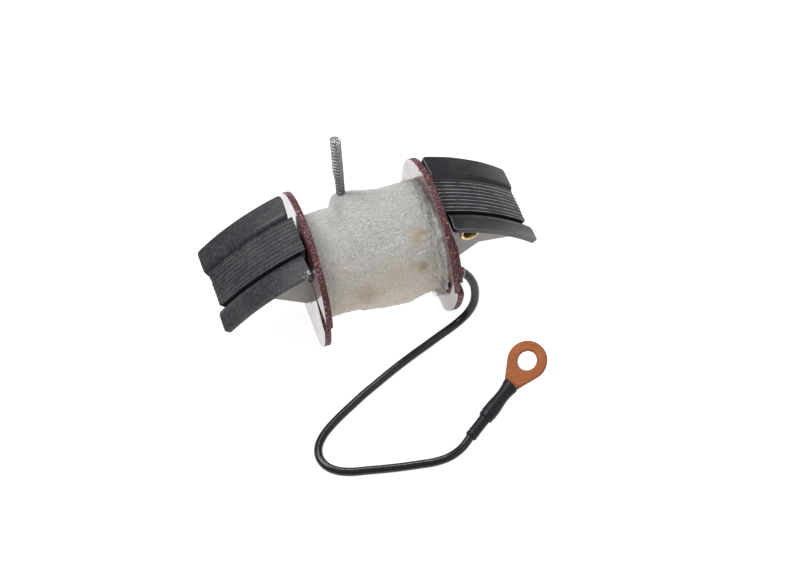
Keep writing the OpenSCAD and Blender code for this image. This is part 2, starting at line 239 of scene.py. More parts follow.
def plate(name, loops, thickness, edge, place, slot, fill=(), rough=0.0, rim_steps=1, **options):
    """A sheet between flat outlines, with rounded edges and a wear value for every point.

    loops: outer outline, then holes, each with the material on its left. place(u, v, w) puts a
    point of the sheet in space, w going from 0 to thickness. rough is the depth of the rim's pits.
    """
    steps = [inward(loop) for loop in loops]
    faces_loops = [np.array(loop) + edge * step for loop, step in zip(loops, steps)]
    flat = [tuple(p) for loop in faces_loops for p in loop]
    borders = []
    start = 0
    for loop in faces_loops:
        count = len(loop)
        borders += [(start + k, start + (k + 1) % count) for k in range(count)]
        start += count
    border_count = start
    if len(fill):
        spread = np.array(fill)
        border = np.array(flat)
        clear = np.linalg.norm(spread[:, None] - border[None], axis=2).min(axis=1) > 0.2
        flat += [tuple(p) for p in spread[inside(spread, faces_loops) & clear]]
    found = delaunay_2d_cdt([Vector(p) for p in flat], borders, [], 0, 1e-7)
    triangles = np.array(found[2])
    position = np.array([tuple(p) for p in found[0]])
    if len(position) != len(flat):
        raise RuntimeError(name + ": points of the outline coincide")
    triangles = triangles[inside(position[triangles].mean(axis=1), faces_loops)]
    count = len(position)
    points = [place(u, v, 0.0) for u, v in position]
    points += [place(u, v, thickness) for u, v in position]
    wear = [0.35 if k < border_count else 0.0 for k in range(count)] * 2
    faces = [tuple(t) for t in triangles] + [tuple(count + i for i in t[::-1]) for t in triangles]
    rim_from = len(faces)
    quarter = [math.radians(a) for a in (30, 60, 90)]
    rows = [(edge * (1 - math.sin(a)), edge * (1 - math.cos(a)), 1 - abs(a - 0.8)) for a in quarter]
    rim = thickness - 2 * edge
    rows += [(0.0, edge + rim * k / (rim_steps + 1), 0.0) for k in range(1, rim_steps + 1)]
    rows += [(inset, thickness - w, wear_and_highlight) for inset, w, wear_and_highlight in rows[2::-1]]
    start = 0
    for loop, step in zip(loops, steps):
        loop = np.array(loop)
        lower = [start + k for k in range(len(loop))]
        for inset, w, wear_and_highlight in rows:
            upper = [len(points) + k for k in range(len(loop))]
            for (u, v), (du, dv) in zip(loop, step):
                pit = rough * (0.5 + 0.5 * noise.noise(Vector((u, v, w)) * 1.9))
                pit += rough * 0.5 * noise.noise(Vector((u + 40, v, w)) * 5.0)
                depth = inset + max(pit, 0.0)
                points.append(place(u + du * depth, v + dv * depth, w))
                wear.append(wear_and_highlight)
            faces += bridge(lower, upper)
            lower = upper
        faces += bridge(lower, [count + start + k for k in range(len(loop))])
        start += len(loop)
    piece = add_piece(name, points, faces, slot, rim_from=rim_from, **options)
    attribute = piece.data.attributes.new("wear", "FLOAT", "POINT")
    attribute.data.foreach_set("value", wear)
    return piece


def bridge(lower, upper):
    count = len(lower)
    return [(lower[k], lower[(k + 1) % count], upper[(k + 1) % count], upper[k]) for k in range(count)]


def tube(path, radii, sides):
    """Points and faces of a closed tube along a path, with one radius for each point of it."""
    points = []
    side = Vector((0, 0, 1))
    count = len(path)
    for i, centre in enumerate(path):
        ahead = (path[min(i + 1, count - 1)] - path[max(i - 1, 0)]).normalized()
        side = (side - ahead * side.dot(ahead)).normalized()
        up = ahead.cross(side)
        for k in range(sides):
            a = 2 * math.pi * k / sides
            points.append(centre + radii[i] * (math.cos(a) * side + math.sin(a) * up))
    faces = grid_faces(count, sides)
    faces.append(tuple(range(sides)))
    faces.append(tuple((count - 1) * sides + k for k in reversed(range(sides))))
    return points, faces


def smooth_path(points, step):
    """Catmull-Rom curve through the points, with a point about every step."""
    points = [Vector(p) for p in points]
    ends = [2 * points[0] - points[1]] + points + [2 * points[-1] - points[-2]]
    path = []
    for i in range(1, len(ends) - 2):
        a, b, c, d = ends[i - 1:i + 3]
        count = max(2, round((c - b).length / step))
        for k in range(count):
            t = k / count
            path.append(0.5 * (2 * b + (c - a) * t + (2 * a - 5 * b + 4 * c - d) * t * t
                               + (3 * b - a - 3 * c + d) * t ** 3))
    path.append(points[-1])
    return path


# ---------------------------------------------------------------- lead
LEAD_ROUTE = [
    (16.5, -14.2, 16.3), (17.7, -14.5, 14.4), (18.6, -14.8, 11.8), (18.9, -15, 8.8),
    (18.6, -15.2, 5.8), (17.4, -15.4, 3.2), (15.4, -15.8, 1.5), (12.7, -16.7, 0.9),
    (9.6, -17.9, 0.9), (6.4, -19.2, 0.9), (3.1, -20.5, 0.9), (-0.2, -21.9, 0.9),
    (-3.5, -23.4, 0.9), (-6.8, -25, 0.9), (-10.1, -26.6, 0.9), (-13.4, -28.4, 0.9),
    (-16.6, -30.2, 0.9), (-19.4, -32, 0.9), (-21.7, -33.9, 0.9), (-23.2, -36, 0.9),
    (-23.7, -38.4, 0.9), (-23, -40.7, 0.9), (-21.2, -42.5, 0.9), (-18.6, -43.7, 0.9),
    (-15.2, -44.5, 0.9), (-11.8, -45.3, 0.9), (-8.4, -46, 0.9), (-4.9, -46.6, 0.9),
    (-1.5, -47.1, 0.9), (1.7, -47, 1), (4.65, -46.08, 1.38), (7.1, -44.52, 2),
]
SLEEVE_INNER_LEN = 5.0
SLEEVE_OUTER_LEN = 9.2
RING_RISE = math.radians(14)
RING_T = 0.8
RING_OFFSET = 6.1
RING_R = 4.25
RING_HOLE_R = 2.1
TONGUE_HALF = 1.9
terminal_place = (Matrix.Translation(LEAD_ROUTE[-1])
                  @ Matrix.Rotation(math.atan2(7.4, 11.6), 4, "Z")
                  @ Matrix.Rotation(math.radians(-12), 4, "Y"))
ring_place = (terminal_place
              @ Matrix.Translation((SLEEVE_INNER_LEN + SLEEVE_OUTER_LEN + 0.117, 0, 0))
              @ Matrix.Rotation(-RING_RISE, 4, "Y"))


def add_lead():
    path = smooth_path(LEAD_ROUTE, 0.5)
    points, faces = tube(path, [LEAD_R] * len(path), 24)
    lead = add_piece("lead", points, faces, "lead_jacket", smooth_angle=60, replaced=["lead_wire"])
    return lead, [tuple(p * MM) for p in path]


def lathe_place(matrix):
    return lambda along, radius, angle: matrix @ Vector(
        (along, radius * math.cos(angle), radius * math.sin(angle)))


def lathe(name, profile, sides, place, slot, shape=None, **options):
    """A closed ring of (along, radius) points turned round an axis.

    shape(along, radius, angle) returns the changed along and radius of a point.
    """
    points = []
    for along, radius in profile:
        for k in range(sides):
            angle = 2 * math.pi * k / sides
            here = shape(along, radius, angle) if shape else (along, radius)
            points.append(place(here[0], here[1], angle))
    faces = grid_faces(len(profile), sides, wrap_rows=True)
    return add_piece(name, points, faces, slot, **options)


def sleeve_shape(length, wrinkle, slant, spread):
    """Shrunk sleeve: folds round it, dents, an end cut at a slant and spread sideways by the tongue."""
    def shape(along, radius, angle):
        around = Vector((math.cos(angle), math.sin(angle), along * 0.35))
        dents = noise.noise(around * 1.3 + Vector((length, 0, 0)))
        folds = math.sin(along * 5.2 + 2.0 * noise.noise(around)) * max(0.0, 1 - abs(along - 0.8) / 1.6)
        near_end = max(0.0, (along / length - 0.6) / 0.4)
        slanted = along + slant * math.cos(angle - 0.7) * near_end
        wide = 1 + spread * near_end * math.cos(angle) ** 2
        return slanted, radius * wide * (1 + wrinkle * dents) + 0.05 * folds
    return shape


def sleeve_profile(length, outline, wall):
    """Closed section of a hollow sleeve, rounded at both ends. outline: (part, outer radius)."""
    parts, radii = zip(*outline)
    steps = 30
    lip = 0.12
    profile = []
    for k in range(steps + 1):
        part = k / steps
        nearest_end = min(part, 1 - part) * length
        rounding = lip * max(0.0, 1 - nearest_end / 0.12) ** 2
        profile.append((length * part, float(np.interp(part, parts, radii)) - rounding))
    for k in range(steps, -1, -1):
        part = k / steps
        profile.append((length * part, float(np.interp(part, parts, radii)) - wall))
    return profile


def add_sleeves():
    place = lathe_place(terminal_place)
    small = [(0, 1.14), (0.06, 1.24), (0.5, 1.2), (1, 1.22)]
    inner = lathe("sleeve_small", sleeve_profile(SLEEVE_INNER_LEN + 1.2, small, 0.27), 40,
                  place, "shrink_sleeve", sleeve_shape(5.0, 0.025, 0.0, 0.0),
                  replaced=["lead_sleeve_inner"])
    outer_place = lathe_place(terminal_place @ Matrix.Translation((SLEEVE_INNER_LEN, 0, 0)))
    large = [(0, 1.42), (0.04, 1.58), (0.16, 1.68), (0.38, 1.64), (0.56, 1.46), (0.72, 1.38),
             (0.86, 1.46), (0.95, 1.6), (1, 1.7)]
    outer = lathe("sleeve_large", sleeve_profile(SLEEVE_OUTER_LEN, large, 0.3), 48,
                  outer_place, "shrink_sleeve", sleeve_shape(SLEEVE_OUTER_LEN, 0.03, 0.3, 0.1),
                  replaced=["lead_sleeve_outer"])
    core = lathe("crimp_core", [(0.2, 0.05), (0.3, 1.15), (3.4, 1.2), (5.5, 1.0), (8.3, 1.02), (8.5, 0.05)],
                 32, outer_place, "copper")
    return inner, outer, core


def add_ring():
    reach = math.hypot(RING_OFFSET, TONGUE_HALF)
    flare = math.asin(RING_R / reach) - math.atan2(TONGUE_HALF, RING_OFFSET)
    flank_len = math.sqrt(reach ** 2 - RING_R ** 2)
    flank = (flank_len * math.cos(flare), TONGUE_HALF + flank_len * math.sin(flare))
    turn = math.atan2(flank[1], flank[0] - RING_OFFSET)
    outline = [(-1.6, -TONGUE_HALF + 0.85), (0.3, -TONGUE_HALF + 0.1)]
    outline += arc((RING_OFFSET, 0), RING_R, -turn, turn, 72)
    outline += [(0.3, TONGUE_HALF - 0.1), (-1.6, TONGUE_HALF - 0.85)]
    hole = arc((RING_OFFSET, 0), RING_HOLE_R, 0, -2 * math.pi, 60)[:-1]

    def place(u, v, w):
        bow = 0.05 * noise.noise(Vector((u, v, 3.0)) * 0.3)
        sink = -0.10 * max(0.0, 1.0 - u) ** 1.5
        return ring_place @ Vector((u, v, w - RING_T / 2 + bow + sink))

    outline = refine(outline, 0.7)
    fill = [(u * 0.6, v * 0.6) for u in range(-2, 18) for v in range(-7, 8)]
    ring = plate("ring_terminal_plate", [outline, hole], RING_T, 0.13, place, "copper", fill=fill,
                 replaced=["ring_terminal"])
    even_shading(ring)
    return ring


# ---------------------------------------------------------------- core
def polar(radius, angle):
    return radius * math.sin(angle), ARC_Z + radius * math.cos(angle)


def mirrored(loop):
    return [(-u, v) for u, v in reversed(loop)]


def eyelet_holes(radius):
    holes = []
    for side in (-1, 1):
        holes.append(arc((side * EYELET_X, EYELET_Z), radius, 0, -2 * math.pi, 36)[:-1])
    return holes


def lamination_outline():
    right = [HORN_START, HORN_KNEE, polar(POLE_R - HORN_TIP_T, TIP)]
    right += [polar(POLE_R, TIP + (SHOULDER - TIP) * k / 40) for k in range(41)]
    right.append((SHOULDER_X, AXIS_Z + NECK_HALF))
    return refine(right + mirrored(right), 1.4)


def add_laminations():
    outline = lamination_outline()
    pieces = []
    for index in range(1, LAMINATIONS + 1):
        y0 = -STACK_HALF + (index - 1) * LAMINATION_T
        sink = random.uniform(0.0, 0.12)
        shift = random.uniform(-0.05, 0.05)
        gap = 0.015

        def place(u, v, w):
            radius = math.hypot(u, v - ARC_Z)
            near_arc = min(1.0, max(0.0, (radius - 44) / 4))
            wave = 0.02 * bumpy(u * 0.25, index * 7.3, 0)
            out = 1 - (sink + wave + 0.02) * near_arc / radius
            y = y0 + gap + w * (LAMINATION_T - 2 * gap) / LAMINATION_T
            at_tip = min(1.0, max(0.0, (abs(u) - 26) / 4))
            return (u * out + shift * at_tip, y, ARC_Z + (v - ARC_Z) * out)

        piece = plate("core_sheet_%d" % index, [outline] + eyelet_holes(BARREL_R + 0.02),
                      LAMINATION_T, 0.13, place, "lamination_steel", rough=0.02,
                      replaced=["lamination_%d" % index])
        even_shading(piece)
        pieces.append(piece)
    return pieces


class Cheek:
    """A cheek as a flat sheet: beyond the start of its bend, radii run on along the bend and wing."""

    def __init__(self, side, bend_r, left_y, right_y):
        self.side = side
        self.bend_r = bend_r
        self.left_y = left_y
        self.right_y = right_y
        self.start = POLE_R - CHEEK_T - bend_r
        self.middle_r = bend_r + CHEEK_T / 2
        self.bend_len = math.pi / 2 * self.middle_r

    def section(self, unrolled, w):
        """Radius and distance from the middle plane, for a radius on the flat sheet."""
        run = unrolled - self.start
        if run <= 0:
            return unrolled, STACK_HALF + w
        outer = self.bend_r + CHEEK_T - w
        if run < self.bend_len:
            turn = run / self.middle_r
            return self.start + outer * math.sin(turn), CHEEK_Y + self.bend_r - outer * math.cos(turn)
        return self.start + outer, CHEEK_Y + self.bend_r + run - self.bend_len

    def wing_end(self, wing_y):
        return self.start + self.bend_len + wing_y - CHEEK_Y - self.bend_r

    def half(self, wing_y):
        """Outline from the horn's foot over the wing to the neck, on the right."""
        end = self.wing_end(wing_y)
        middle = POLE_R - CHEEK_T / 2

        def corner(angle, edge, way):
            """Point of the wing's rounded corner at a side edge. way leads towards the wing's middle."""
            inset = CORNER_R * (1 - math.cos(angle)) / middle
            return polar(end - CORNER_R * (1 - math.sin(angle)), edge + way * inset)

        quarter = [math.radians(a) for a in range(0, 91, 15)]
        loop = [HORN_START, HORN_KNEE, polar(POLE_R - HORN_TIP_T, WING_TIP)]
        loop += [polar(self.start + self.bend_len * k / 4, WING_TIP) for k in range(5)]
        loop += [corner(a, WING_TIP, -1) for a in quarter]
        near_tip, near_root = WING_TIP - CORNER_R / middle, WING_ROOT + CORNER_R / middle
        loop += [polar(end, near_tip + (near_root - near_tip) * k / 30) for k in range(1, 30)]
        loop += [corner(a, WING_ROOT, 1) for a in reversed(quarter)]
        for k in range(8):
            unrolled = self.start + self.bend_len * (1 - k / 8)
            radius = self.section(unrolled, CHEEK_T / 2)[0]
            loop.append(polar(unrolled, math.asin(ROOT_X / radius)))
        loop.append((ROOT_X, AXIS_Z + NECK_HALF))
        return loop

    def outline(self):
        return refine(self.half(self.right_y) + mirrored(self.half(self.left_y)), 1.2)

    def fill(self):
        """Points within the sheet, closer together over the bend and the wings."""
        points = []
        for side, wing_y in ((-1, self.left_y), (1, self.right_y)):
            end = self.wing_end(wing_y)
            rows = [self.start - 0.3] + [self.start + self.bend_len * k / 8 for k in range(9)]
            rows += [end - 0.5, end - 1.6]
            for unrolled in rows:
                points += [polar(unrolled, side * (WING_ROOT + (WING_TIP - WING_ROOT) * (k + 0.5) / 34))
                           for k in range(34)]
        return points

    def place(self, u, v, w):
        unrolled = math.hypot(u, v - ARC_Z)
        if unrolled < 1:
            return u, self.side * (STACK_HALF + w), v
        radius, y = self.section(unrolled, w)
        lump = 0.05 * bumpy(u * 0.16, v * 0.16, self.side * 9.0)
        radius = min(radius + lump * min(1.0, max(0.0, (unrolled - self.start) / 2)), POLE_R)
        return u * radius / unrolled, self.side * y, ARC_Z + (v - ARC_Z) * radius / unrolled


def add_cheeks():
    pieces = []
    for name, cheek in (("front", Cheek(-1, 0.9, 11.0, 9.8)), ("back", Cheek(1, 0.5, 11.0, 11.0))):
        piece = plate("wing_cheek_" + name, [cheek.outline()] + eyelet_holes(BARREL_R + 0.02), CHEEK_T,
                      0.2, cheek.place, "cheek_steel", fill=cheek.fill(), rough=0.02,
                      replaced=["cheek_" + name])
        even_shading(piece)
        pieces.append(piece)
    return pieces


def add_eyelets():
    pieces = []
    rolled = [(-0.25, 0), (0.05, 0.05), (0.23, 0.18), (0.33, 0.36), (0.34, 0.54), (0.27, 0.7),
              (0.15, 0.79), (0.05, 0.77), (0.005, 0.66), (0, 0.45), (-0.05, 0.35)]
    head = [(-CHEEK_Y - out, EYELET_R + wider) for out, wider in rolled]
    inner = [(y, EYELET_R) for y in (5.0, 2.5, 0.0, -2.5, -5.0)]
    outer = [(y, BARREL_R) for y in (-4.0, 0.0, 4.0)]
    profile = inner + head + outer + [(-y, r) for y, r in reversed(head)]
    for name, side in (("left", -1), ("right", 1)):
        def place(along, radius, angle):
            return (side * EYELET_X + radius * math.cos(angle), along,
                    EYELET_Z + radius * math.sin(angle))

        def shape(along, radius, angle):
            uneven = bumpy(2.2 * math.cos(angle), 2.2 * math.sin(angle), side * 5.0 + along)
            rolled = max(0.0, radius - EYELET_R - 0.2)
            return along, min(radius + 0.09 * rolled * uneven, EYELET_HEAD_R)

        pieces.append(lathe("eyelet_%s_rolled" % name, profile, 64, place, "eyelet_brass", shape,
                            smooth_angle=60, replaced=["eyelet_" + name]))
    return pieces


# ---------------------------------------------------------------- flanges
def flange_outline():
    """Disc in the Y-Z plane, cut off at the foot. The slit leads to the opening for the core."""
    foot = math.asin(-AXIS_Z / FLANGE_R)
    along = (-math.cos(SLIT_ANGLE), -math.sin(SLIT_ANGLE))
    across = (-along[1], along[0])
    lips = []
    for offset in (-SLIT_W / 2, SLIT_W / 2):
        start = (SLIT_START[0] + across[0] * offset, SLIT_START[1] + across[1] * offset)
        reach = FLANGE_R * 0.6
        for _ in range(40):
            tip = (start[0] + along[0] * reach, start[1] + along[1] * reach)
            reach += FLANGE_R - math.hypot(tip[0], tip[1] - AXIS_Z)
        lips.append((tip[1], math.atan2(tip[1] - AXIS_Z, tip[0]) % (2 * math.pi)))
    (_, upper_a), (_, lower_a) = sorted(lips, reverse=True)
    loop = arc((0, AXIS_Z), FLANGE_R, foot, upper_a, 130)
    neck = math.asin(SLIT_W / 2 / WIRE_HOLE_R)
    mouth = math.atan2(along[1], along[0])
    top, side = AXIS_Z + SLEEVE_UP, -SLEEVE_Y
    meets_top = math.asin((top - SLIT_START[1]) / WIRE_HOLE_R)
    blunted = math.radians(-80)
    loop += arc(SLIT_START, WIRE_HOLE_R, mouth % (2 * math.pi) - neck, meets_top, 8)
    loop += [(SLEEVE_Y, top), (SLEEVE_Y, AXIS_Z - SLEEVE_UP), (side, AXIS_Z - SLEEVE_UP)]
    loop.append((side, SLIT_START[1] - 1.1))
    loop += arc(SLIT_START, WIRE_HOLE_R, blunted, mouth + neck, 4)
    loop += arc((0, AXIS_Z), FLANGE_R, lower_a, math.pi - foot, 24)
    return refine(loop, 0.45)


def add_flanges():
    outline = flange_outline()
    fill = [(y * 0.8, z * 0.8) for y in range(-22, 23) for z in range(0, 39)]
    along = Vector((-math.cos(SLIT_ANGLE), -math.sin(SLIT_ANGLE)))
    across = Vector((-along[1], along[0]))
    pieces = []
    for name, side, spread in (("left", -1, 0.45), ("right", 1, 0.8)):
        def place(u, v, w):
            offset = Vector((u - SLIT_START[0], v - SLIT_START[1]))
            reach = min(1.0, max(0.0, offset.dot(along) / 10))
            below = offset.dot(across)
            bent = 0.0
            if below > 0:
                bent = spread * reach ** 1.5 * math.exp(-((below / 9) ** 2))
            warp = 0.06 * bumpy(u * 0.12, v * 0.12, side * 3)
            x = FLANGE_X - FLANGE_T + w
            beside_core = min(1.0, max(0.0, (abs(u) - 6) / 6))
            return side * (x + bent + warp * beside_core), u, v

        piece = plate("flange_" + name + "_fibre", [outline], FLANGE_T, 0.1, place, "fibre",
                      fill=fill, rough=0.16, rim_steps=5, replaced=["flange_" + name])
        even_shading(piece)
        pieces.append(piece)
    return pieces


def add_clamp_plate():
    """Part of a washer beside the front cheek, from the slit upwards."""
    inner_y = -CHEEK_Y - 1.4
    low = SLIT_START[1] - 1.3
    high = SLIT_START[1] + 6.5
    high_angle = math.pi - math.asin((high - AXIS_Z) / CLAMP_R)
    low_angle = math.pi - math.asin((low - AXIS_Z) / CLAMP_R)
    loop = [(inner_y, low), (inner_y, high)] + arc((0, AXIS_Z), CLAMP_R, high_angle, low_angle, 16)
    fill = [(y * 0.9, z * 0.9) for y in range(-20, -8) for z in range(16, 30)]

    def place(u, v, w):
        return FLANGE_X + 0.08 + w + 0.04 * bumpy(u * 0.15, v * 0.15, 1), u, v

    piece = plate("clamp_washer", [refine(loop, 0.45)], CLAMP_T, 0.12, place, "fibre", fill=fill,
                  rough=0.08, rim_steps=3, replaced=["lead_clamp_plate"])
    even_shading(piece)
    return piece


# ---------------------------------------------------------------- winding
# Radius of the gauze along the winding: on the spring's side, and opposite to it
UPPER_PROFILE = ((-13.2, 11.2), (-6, 11.3), (-4.5, 12.1), (-2, 12.6), (13.2, 12.5))
LOWER_PROFILE = ((-13.2, 11.2), (-5.6, 11.4), (0, 12.4), (5.6, 12.8), (10.2, 11.8), (13.2, 11.4))
# Height of the hill round the spring's foot
HILL_PROFILE = ((-5.8, 0), (-4.9, 1.6), (-3.4, 1.8), (1.4, 0.7), (5, 0))
UPPER_ANGLE = math.radians(37)
HILL_ANGLE = math.radians(45)
HILL_SPREAD = math.radians(24)
# Length of the torn end that flares up the right flange on the front side
FLARE_LEN = 1.7
TAPE_INNER_R = 11.05
TAPE_LEAST_R = 11.15


def along_winding(profile, x):
    return float(np.interp(x, [p[0] for p in profile], [p[1] for p in profile]))


def ragged_edge(angle):
    """Where the outermost layer ends, near the right flange."""
    return WINDING_X - 1.0 + 0.9 * bumpy_round(3.0, angle, 5)


def tape_radius(x, angle):
    """Outer radius of the wrapped gauze. Angle 0 is the back, a quarter turn is the top."""
    upper = 0.5 + 0.5 * math.cos(angle - UPPER_ANGLE)
    radius = along_winding(LOWER_PROFILE, x) * (1 - upper) + along_winding(UPPER_PROFILE, x) * upper
    turn = (angle - HILL_ANGLE + math.pi) % (2 * math.pi) - math.pi
    radius += along_winding(HILL_PROFILE, x) * math.exp(-((turn / HILL_SPREAD) ** 2))
    around = Vector((x * 0.12, math.cos(angle) * 1.5, math.sin(angle) * 1.5))
    # Broad lumps, small lumps and narrow creases
    radius += 0.16 * noise.noise(around * 1.4)
    radius += 0.12 * bumpy_round(x * 0.5, angle, 6)
    crease = bumpy_round(x * 0.22, angle, 9)
    radius -= 0.08 * max(0.0, 0.35 - abs(crease)) / 0.35
    # The step where each turn of the band overlaps the last
    overlap = (x * 0.13 + angle / (2 * math.pi) + 0.04 * noise.noise(around * 2)) % 1.0
    radius += 0.13 * max(0.0, 1 - overlap / 0.5) * min(1.0, overlap / 0.02)
    # Past its ragged edge the outermost layer is missing, and the left end curls up
    beyond = min(1.0, max(0.0, (x - ragged_edge(angle)) / 0.2))
    radius -= 0.4 * beyond
    edge = max(0.0, -x - (WINDING_X - 1.2)) / 1.2
    curl = 0.5 + 0.5 * bumpy_round(x, angle, 7)
    radius += edge * edge * (0.45 * curl - 0.1)
    # The torn right end flares up the flange at the front
    flare = max(0.0, x - (WINDING_X - FLARE_LEN)) / FLARE_LEN
    front = min(1.0, max(0.0, -1.6 * math.cos(angle)))
    tatters = bumpy_round(8.0, angle, 8)
    radius += front * flare ** 1.5 * (2.0 + 1.1 * tatters)
    return max(radius, TAPE_LEAST_R)


def add_tape():
    columns = 420
    rows = 210
    points = []
    for i in range(rows):
        x = WINDING_X * (2 * i / (rows - 1) - 1)
        for j in range(columns):
            angle = 2 * math.pi * j / columns
            radius = tape_radius(x, angle)
            grain = bumpy_round(x * 1.7, angle, 21)
            radius += 0.05 * grain
            points.append((x, radius * math.cos(angle), AXIS_Z + radius * math.sin(angle)))
    for x in (WINDING_X, -WINDING_X):
        for j in range(columns):
            angle = 2 * math.pi * j / columns
            points.append((x, TAPE_INNER_R * math.cos(angle), AXIS_Z + TAPE_INNER_R * math.sin(angle)))
    faces = grid_faces(rows + 2, columns, wrap_rows=True)
    return add_piece("gauze_wrap", points, faces, "cotton_tape", smooth_angle=80, replaced=["tape_wrap"])


def add_fibres(name, count, spread, length, radius):
    """Loose cotton fibres that stand off the gauze. spread() gives where each starts."""
    points, faces = [], []
    for _ in range(count):
        x, angle = spread()
        out = Vector((0, math.cos(angle), math.sin(angle)))
        around = Vector((0, -math.sin(angle), math.cos(angle)))
        start = Vector((x, 0, AXIS_Z)) + out * (tape_radius(x, angle) - 0.08)
        aim = (out * random.uniform(0.35, 1.0) + around * random.uniform(-1, 1)
               + Vector((random.uniform(-0.8, 0.8), 0, 0))).normalized()
        bend = (around * random.uniform(-1, 1) + Vector((random.uniform(-1, 1), 0, 0))
                - out * random.uniform(0.4, 1.2))
        size = length * random.uniform(0.5, 1.4)
        path = []
        for k in range(5):
            t = k / 4
            p = start + aim * size * t + bend * size * 0.55 * t * t
            limit = WINDING_X - 0.03
            p.x = min(limit, max(-limit, p.x))
            path.append(p)
        new_points, new_faces = tube(path, [radius * (1 - 0.12 * k) for k in range(5)], 3)
        faces += [tuple(index + len(points) for index in face) for face in new_faces]
        points += new_points
    return add_piece(name, points, faces, "cotton_tape", smooth_angle=180)


# Where a fibre starts: place along the winding, and angle
def anywhere():
    return random.uniform(-WINDING_X + 0.3, WINDING_X - 0.3), random.uniform(0, 2 * math.pi)


def at_right():
    return WINDING_X - abs(random.gauss(0, 1.0)), random.uniform(0, 2 * math.pi)


def at_left():
    return -WINDING_X + abs(random.gauss(0, 0.6)), random.uniform(0, 2 * math.pi)


# ---------------------------------------------------------------- spring
def spring_point(turn):
    part = turn / SPRING_TURNS
    rise = part * SPRING_RISE
    slack = min(1.0, max(0.0, (part - 0.22) / 0.2))
    radius = 0.76 + 0.18 * slack * slack * (3 - 2 * slack)
    return Vector((SPRING_X + 0.14 * (1 - slack) + radius * math.cos(2 * math.pi * turn),
                   SPRING_Y + SPRING_LEAN * rise + radius * math.sin(2 * math.pi * turn),
                   SPRING_FOOT_Z + SPRING_WIRE_R + rise))


def add_spring():
    steps = 22
    split = SPRING_TURNS - TIP_TURNS
    wire = [spring_point(k / steps) for k in range(split * steps + 1)]
    points, faces = tube(wire, [SPRING_WIRE_R] * len(wire), 10)
    spring = add_piece("spring_coils", points, faces, "spring_steel", smooth_angle=70,
                       replaced=["contact_spring"])
    top = SPRING_FOOT_Z + SPRING_WIRE_R + SPRING_RISE * split / SPRING_TURNS
    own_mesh(spring)
    wire = [spring_point(split + k / steps) for k in range(int(1.7 * steps) + 1)]
    end = wire[-1]
    top = spring_point(SPRING_TURNS).z - 0.1
    centre = Vector((SPRING_X, SPRING_Y + SPRING_LEAN * SPRING_RISE, top))
    wire += [end.lerp(centre, t) + Vector((0, 0, 0.16 * math.sin(math.pi * t))) for t in (0.35, 0.7, 1.0)]
    points, faces = tube(wire, [SPRING_WIRE_R] * len(wire), 10)
    tip = add_piece("spring_end_turns", points, faces, "spring_steel", smooth_angle=70, body="contact",
                    replaced=["contact_tip"])
    return spring, tip


def add_button():
    """Brass button below the spring, covered by the gauze."""
    profile = [(9.0, 0.05), (9.0, 1.5), (20.8, 1.5), (21.6, 1.2), (22.6, 0.6), (22.9, 0.05)]

    def place(along, radius, angle):
        return SPRING_X + radius * math.cos(angle), SPRING_Y + radius * math.sin(angle), along

    return lathe("button_under_gauze", [(z + AXIS_Z - 13, r) for z, r in profile], 32, place, "brass",
                 replaced=["hv_terminal"])


# ---------------------------------------------------------------- small parts
def add_blob(name, centre, size, slot, lumps, seed, replaced, cut=None):
    """A lumpy drop: a sphere stretched to size, with noise. Points beyond cut are pressed flat."""
    editable = bmesh.new()
    bmesh.ops.create_icosphere(editable, subdivisions=4, radius=1.0)
    points = []
    for vertex in editable.verts:
        p = vertex.co.copy()
        p *= 1 + lumps * noise.noise(p * 1.6 + Vector((seed, 0, 0)))
        p = Vector(centre) + Vector((p.x * size[0], p.y * size[1], p.z * size[2]))
        if cut:
            p = cut(p)
        points.append(p)
    faces = [tuple(v.index for v in face.verts) for face in editable.faces]
    editable.free()
    return add_piece(name, points, faces, slot, smooth_angle=75, replaced=replaced)


def add_earth():
    """The primary winding's start: out of the flange's relief hole and down into the solder."""
    low, high = box_mm("earth_solder")
    bead = ((low.x + high.x) / 2, (low.y + high.y) / 2, (low.z + high.z) / 2)

    def press(p):
        p.x = min(p.x, -FLANGE_X - 0.05)
        return p

    solder = add_blob("solder_bead", (-ROOT_X + 0.1, bead[1], bead[2]), (0.55, 0.7, 0.8), "solder",
                      0.3, 3.0, ["earth_solder"], press)
    path = smooth_path([(-13.0, SLIT_START[0], SLIT_START[1]), (-14.9, SLIT_START[0], SLIT_START[1]),
                        (-15.4, SLIT_START[0] + 0.2, SLIT_START[1] + 0.5),
                        (-15.6, bead[1] - 0.7, bead[2] - 0.3), (-15.7, bead[1], bead[2])], 0.15)
    points, faces = tube(path, [0.2] * len(path), 10)
    wire = add_piece("earth_end", points, faces, "enamelled_wire", smooth_angle=60,
                     replaced=["earth_wire"])
    return solder, wire


def add_bushing():
    def press(p):
        p.x = max(p.x, FLANGE_X + CLAMP_T * 0.6)
        return p

    return add_blob("varnish_drop", (16.0, -14.1, 16.7), (0.95, 1.05, 1.45), "varnish", 0.28, 11.0,
                    ["lead_bushing"], press)


